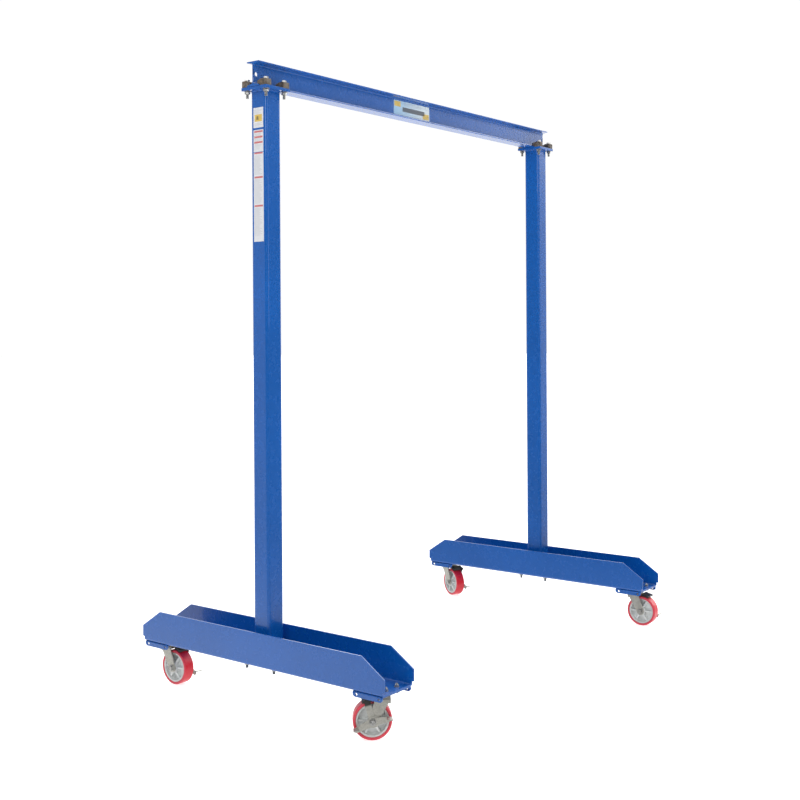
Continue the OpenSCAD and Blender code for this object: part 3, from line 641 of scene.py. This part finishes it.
class CRANE_OT_stage(bpy.types.Operator):
    """Camera, lights, pale floor and white backdrop"""

    bl_idname = "crane.stage"
    bl_label = "Stage"

    LENS = 52.67
    EYE = Vector((-4.580, -3.4125, 1.5827))
    HEADING = 0.659
    ROLL = -0.0059
    RISE = -0.0928
    FLOOR_RADIUS = 60.0

    # Soft boxes: heading and height in degrees, angles from full to no light, and power
    SOFT_BOXES = (
        (math.degrees(HEADING), 0, 28, 48, 1.0),
        (math.degrees(HEADING), 50, 26, 35, 2.6),
        (-8, 0, 19, 27, 1.0),
        (-24, 24, 12, 19, 3.4),
        (108, 0, 18, 44, 0.6),
    )
    DARK_ROOM = 0.02
    CEILING = 0.80
    LIT_FLOOR = 0.95

    # Lamps: place and power
    LAMPS = {
        "key_light": ((-6.0, -2.5, 5.0), 150.0),
        "fill_light": ((1.0, -7.0, 3.5), 60.0),
    }
    LAMP_SIZE = 4.0
    LAMP_AIM = Vector((0, 0, 1.2))

    def camera(self):
        data = bpy.data.cameras.new("camera")
        data.lens = self.LENS
        data.sensor_width = 36.0
        data.shift_y = self.RISE
        data.clip_end = 200.0
        camera = bpy.data.objects.new("camera", data)
        ahead = Vector((math.cos(self.HEADING), math.sin(self.HEADING), 0))
        level = ahead.cross(WORLD_UP)
        right = level * math.cos(self.ROLL) + WORLD_UP * math.sin(self.ROLL)
        up = WORLD_UP * math.cos(self.ROLL) - level * math.sin(self.ROLL)
        turn = Matrix((right, up, -ahead)).transposed().to_4x4()
        camera.matrix_world = Matrix.Translation(self.EYE) @ turn
        bpy.context.scene.collection.objects.link(camera)
        bpy.context.scene.camera = camera

    def surroundings(self):
        """A dark room with a bright ceiling, soft boxes, and a floor that shines in the low glosses."""
        world = bpy.data.worlds.new("studio_room")
        g = Graph(world, "Generated")
        rise = g.axes()[2]
        light = self.DARK_ROOM + g.ease(rise, 0.15, 0.8) * self.CEILING
        light = light + g.ease(-rise, 0.18, 0.28) * self.LIT_FLOOR
        for heading, height, near, far, power in self.SOFT_BOXES:
            aim = Vector((math.cos(math.radians(height)), 0, math.sin(math.radians(height))))
            aim.rotate(Matrix.Rotation(math.radians(heading), 3, "Z"))
            box = g.ease(g.dot(g.place, aim), math.cos(math.radians(far)), math.cos(math.radians(near)))
            light = light + box * power
        output = g.tree.nodes.new("ShaderNodeOutputWorld")
        back = g.node(
            "ShaderNodeBackground", {}, {"Color": [1, 1, 1, 1], "Strength": light * chosen().light_strength}
        )
        g.tree.links.new(back.socket, output.inputs[0])
        bpy.context.scene.world = world

    def lamp(self, name, place, power):
        data = bpy.data.lights.new(name, "AREA")
        data.size = self.LAMP_SIZE
        data.energy = power
        lamp = bpy.data.objects.new(name, data)
        lamp.location = place
        aim = self.LAMP_AIM - Vector(place)
        lamp.rotation_mode = "QUATERNION"
        lamp.rotation_quaternion = aim.to_track_quat("-Z", "Y")
        bpy.context.scene.collection.objects.link(lamp)

    def floor(self):
        """A pale floor that the glosses don't see; the room's own low light stands for it there."""
        f = Finish("pale_floor", Metallic=0.0, Emission_Color=[1, 1, 1, 1], Emission_Strength=0.75)
        cloud = f.noise(0.8, 4.0, 0.55)
        f.set(Base_Color=f.mix(cloud, [0.54, 0.54, 0.54, 1], [0.58, 0.58, 0.58, 1]))
        f.set(Roughness=0.55 + cloud * 0.1)
        bm = bmesh.new()
        bmesh.ops.create_circle(bm, cap_ends=True, segments=96, radius=self.FLOOR_RADIUS)
        floor = bpy.data.objects.new("floor", mesh_of(bm, "floor"))
        floor.data.materials.append(f.material)
        bpy.context.scene.collection.objects.link(floor)
        floor.visible_glossy = False

    def backdrop(self):
        """A white dome that only the camera sees, so the room's light passes through it."""
        f = Finish("white_backdrop", Emission_Color=[1, 1, 1, 1], Emission_Strength=1.0)
        f.set(Base_Color=[0, 0, 0, 1])
        bm = bmesh.new()
        bmesh.ops.create_uvsphere(bm, u_segments=64, v_segments=32, radius=self.FLOOR_RADIUS)
        dome = bpy.data.objects.new("backdrop", mesh_of(bm, "backdrop"))
        dome.data.materials.append(f.material)
        dome.visible_diffuse = dome.visible_glossy = dome.visible_transmission = dome.visible_shadow = False
        bpy.context.scene.collection.objects.link(dome)

    def execute(self, context):
        context.scene.view_settings.view_transform = "Standard"
        self.camera()
        self.surroundings()
        for name, (place, power) in self.LAMPS.items():
            self.lamp(name, place, power)
        self.floor()
        self.backdrop()
        return {"FINISHED"}


class CRANE_OT_steelwork(bpy.types.Operator):
    """Beam, uprights, plates, channels and pads in blue enamel, with eased edges"""

    bl_idname = "crane.steelwork"
    bl_label = "Steelwork"

    def execute(self, context):
        paint = enamel(chosen())
        for node in (
            "beam", "upright_left", "upright_right", "top_plates", "foot_plates",
            "base_channel_left", "base_channel_right", "caster_pads",
        ):
            eased(node, node + "_painted", paint, chosen().edge_ease)
        return {"FINISHED"}


class CRANE_OT_welds(bpy.types.Operator):
    """Painted fillet welds around the uprights' ends and along the caster pads"""

    bl_idname = "crane.welds"
    bl_label = "Welds"

    STEP = 0.0034
    PAD_SHARE = 0.8
    GROOVE = 0.0045
    GROOVE_LEG = 1.3

    def execute(self, context):
        leg = chosen().weld_leg
        bm = bmesh.new()
        for side in SIDES:
            low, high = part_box("upright_" + side)
            for height, lift in ((low.z, WORLD_UP), (high.z, -WORLD_UP)):
                path = square_path(low, high, chosen().tube_corner, height, self.STEP)
                bead(bm, path, lift, leg, True)
        for path in self.pad_paths():
            bead(bm, path, -WORLD_UP, leg * self.GROOVE_LEG, False)
        bmesh.ops.recalc_face_normals(bm, faces=bm.faces)
        paint = bpy.data.materials["blue_enamel"]
        show("weld_beads", mesh_of(bm, "weld_beads"), paint, "frame", smooth=80)
        return {"FINISHED"}

    def pad_paths(self):
        """Paths along both long sides of each pad, in the groove under the channel."""
        low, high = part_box("caster_pads")
        for caster in CASTERS:
            pivot = Vector(JOINTS["swivel_" + caster]["pos_m"])
            base_low, base_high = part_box("base_channel_" + caster.split("_")[0])
            middle = (base_low.x + base_high.x) / 2
            half = (high.x - low.x) / 2 - abs(middle)
            length = 2 * (high.y - abs(pivot.y)) * self.PAD_SHARE
            count = round(length / self.STEP)
            for side in (-1, 1):
                outward = Vector((side, 0, 0))
                x, z = middle + side * (half - self.GROOVE), high.z - self.GROOVE
                places = [pivot.y + length * (i / count - 0.5) for i in range(count + 1)]
                yield [(Vector((x, y, z)), outward) for y in places]


class CRANE_OT_fasteners(bpy.types.Operator):
    """Clamps, bolts, nuts and washers"""

    bl_idname = "crane.fasteners"
    bl_label = "Clamps and fasteners"

    def execute(self, context):
        eased("beam_clamps", "forged_clamps", clamp_iron(), chosen().forged_ease)
        zinc = bolt_zinc()
        for node in (
            "clamp_bolts", "foot_bolts", "frame_nuts", "frame_washers",
            "caster_bolts", "caster_nuts", "kingpins",
        ):
            dress(node, zinc)
        for caster in CASTERS:
            dress("axle_bolt_" + caster, zinc)
            dress("axle_nut_" + caster, zinc)
        return {"FINISHED"}


class CRANE_OT_labels(bpy.types.Operator):
    """Printed labels on the left upright and on the beam"""

    bl_idname = "crane.labels"
    bl_label = "Labels"

    def execute(self, context):
        dress("upright_labels", upright_labels_film())
        dress("beam_label", beam_label_film())
        return {"FINISHED"}


class CRANE_OT_casters(bpy.types.Operator):
    """Caster plates, forks, brakes, bearings and wheels"""

    bl_idname = "crane.casters"
    bl_label = "Casters"

    def execute(self, context):
        zinc = caster_zinc(chosen())
        steel = bearing_steel()
        rubber = black_rubber("brake_shoe_rubber")
        eased("caster_plates", "caster_plates_plated", zinc, chosen().edge_ease)
        dress("swivel_balls", steel)
        for caster in CASTERS:
            # Each brake arm's zinc, darkened to near black towards its shoe
            darkened_arm_zinc = caster_zinc(chosen(), caster)
            for piece, finish in (("fork_", zinc), ("brake_lever_", zinc), ("brake_arm_", darkened_arm_zinc)):
                eased(piece + caster, piece + caster + "_plated", finish, chosen().edge_ease)
            dress("brake_shoe_" + caster, rubber)
            dress("sleeve_" + caster, steel)
            dress("bearing_" + caster, steel)
            dress("hub_" + caster, cast_hub(caster, chosen()))
            dress("tread_" + caster, red_tread(caster, chosen()))
        return {"FINISHED"}


class CRANE_PT_panel(bpy.types.Panel):
    """The crane's pieces, in the order in which they are made"""

    bl_idname = "CRANE_PT_panel"
    bl_label = "Portable gantry crane"
    bl_space_type = "VIEW_3D"
    bl_region_type = "UI"
    bl_category = "Crane"

    def draw(self, context):
        for operator in OPERATORS:
            self.layout.operator(operator.bl_idname)
        for name in CraneSettings.__annotations__:
            self.layout.prop(context.scene.crane_settings, name)


OPERATORS = (
    CRANE_OT_stage,
    CRANE_OT_steelwork,
    CRANE_OT_welds,
    CRANE_OT_fasteners,
    CRANE_OT_labels,
    CRANE_OT_casters,
)
CLASSES = (CraneSettings, *OPERATORS, CRANE_PT_panel)


def register():
    for cls in CLASSES:
        bpy.utils.register_class(cls)
    bpy.types.Scene.crane_settings = PointerProperty(type=CraneSettings)


def unregister():
    del bpy.types.Scene.crane_settings
    for cls in reversed(CLASSES):
        bpy.utils.unregister_class(cls)


def main():
    register()
    for operator in OPERATORS:
        group, name = operator.bl_idname.split(".")
        getattr(getattr(bpy.ops, group), name)()


if __name__ == "__main__":
    main()
